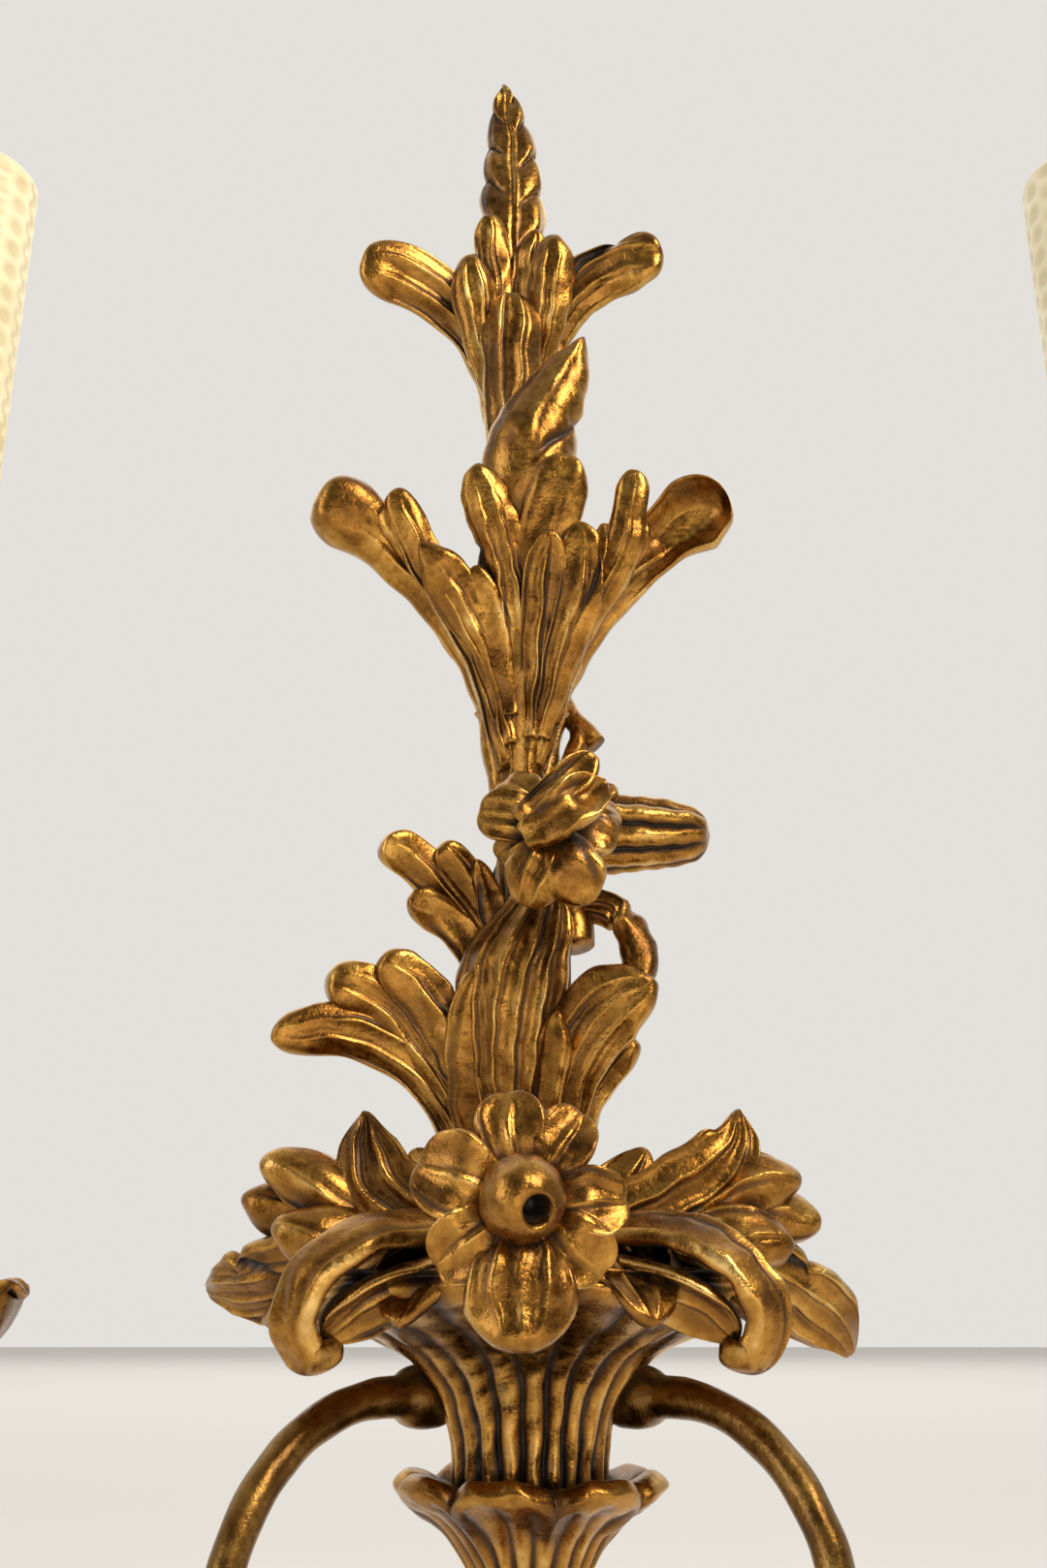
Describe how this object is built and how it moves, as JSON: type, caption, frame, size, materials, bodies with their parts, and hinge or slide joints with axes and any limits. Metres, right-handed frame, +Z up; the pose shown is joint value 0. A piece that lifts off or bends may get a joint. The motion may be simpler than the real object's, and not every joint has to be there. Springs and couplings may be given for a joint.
{
  "type": "wall sconce candle holder",
  "caption": "Carved and gilt wooden wall sconce with a leafy stem, a flower collar, bent arms and candles in leafy pans.",
  "frame": {"origin": "the point at the wall where the hanging loop bears on its hook", "axes": "+Z up, +Y into the wall, +X to the right as seen from the room; the back of the wall block lies in the plane y = 0"},
  "size_m": [0.318, 0.1623, 0.5641],
  "materials": {
    "gilt_wood": "aged gold leaf over dark ground on carved wood",
    "gilt_iron": "dark bronzed gilt on bent iron rod",
    "beeswax": "rolled honeycomb beeswax",
    "bare_wood": "bare limewood",
    "dowel_wood": "bare beech",
    "plain_steel": "zinc plated",
    "black_wire": "black annealed wire"
  },
  "bodies": {
    "sconce": {"stem": "gilt_wood", "crown_center_leaf": "gilt_wood", "crown_inner_leaf_left": "gilt_wood", "crown_inner_leaf_right": "gilt_wood", "crown_curl_left": "gilt_wood", "crown_curl_right": "gilt_wood", "crown_bud_left": "gilt_wood", "crown_bud_right": "gilt_wood", "crown_sheath": "gilt_wood", "flame_leaf": "gilt_wood", "calyx_center_leaf": "gilt_wood", "calyx_curl_left": "gilt_wood", "calyx_curl_right": "gilt_wood", "calyx_lobe_left": "gilt_wood", "calyx_lobe_right": "gilt_wood", "calyx_front_leaf_left": "gilt_wood", "calyx_front_leaf_right": "gilt_wood", "calyx_side_leaf_right": "gilt_wood", "stem_flower": "gilt_wood", "stem_bud_right": "gilt_wood", "stem_leaf_upper_left": "gilt_wood", "stem_leaf_lower_left": "gilt_wood", "stem_sheath": "gilt_wood", "stem_leaf_lower_right": "gilt_wood", "tendril": "gilt_wood", "twig": "gilt_wood", "collar_boss": "gilt_wood", "collar_flower": "gilt_wood", "collar_scroll_left": "gilt_wood", "collar_scroll_right": "gilt_wood", "collar_side_leaf_left": "gilt_wood", "collar_side_leaf_right": "gilt_wood", "collar_bud_left": "gilt_wood", "collar_bud_right": "gilt_wood", "collar_upright_leaf_left": "gilt_wood", "collar_upright_leaf_right": "gilt_wood", "collar_back_leaves": "gilt_wood", "vase": "gilt_wood", "tulip_cup": "gilt_wood", "knop": "gilt_wood", "tail": "gilt_wood", "tail_leaves": "gilt_wood", "center_dowel": "dowel_wood", "wall_block": "bare_wood", "block_screws": "plain_steel", "leaf_pins": "dowel_wood", "hanger_block": "bare_wood", "screw_eyes": "plain_steel", "arm_left": "gilt_iron", "arm_right": "gilt_iron", "pan_left": "gilt_wood", "pan_right": "gilt_wood", "socket_left": "gilt_wood", "socket_right": "gilt_wood", "pan_nuts": "gilt_iron"},
    "candle_left": {"candle_left": "beeswax"},
    "candle_right": {"candle_right": "beeswax"},
    "loop": {"hanging_loop": "black_wire"}
  },
  "joints": [
    {"name": "candle_left_lift", "type": "slide", "parent": "sconce", "child": "candle_left", "axis": [0, 0, 1], "range_m": [0, 0.05]},
    {"name": "candle_right_lift", "type": "slide", "parent": "sconce", "child": "candle_right", "axis": [0, 0, 1], "range_m": [0, 0.05]},
    {"name": "loop_swing", "type": "hinge", "parent": "sconce", "child": "loop", "pos_m": [0, -0.0022, -0.03], "axis": [1, 0, 0], "range_deg": [-175, 0]}
  ]
}
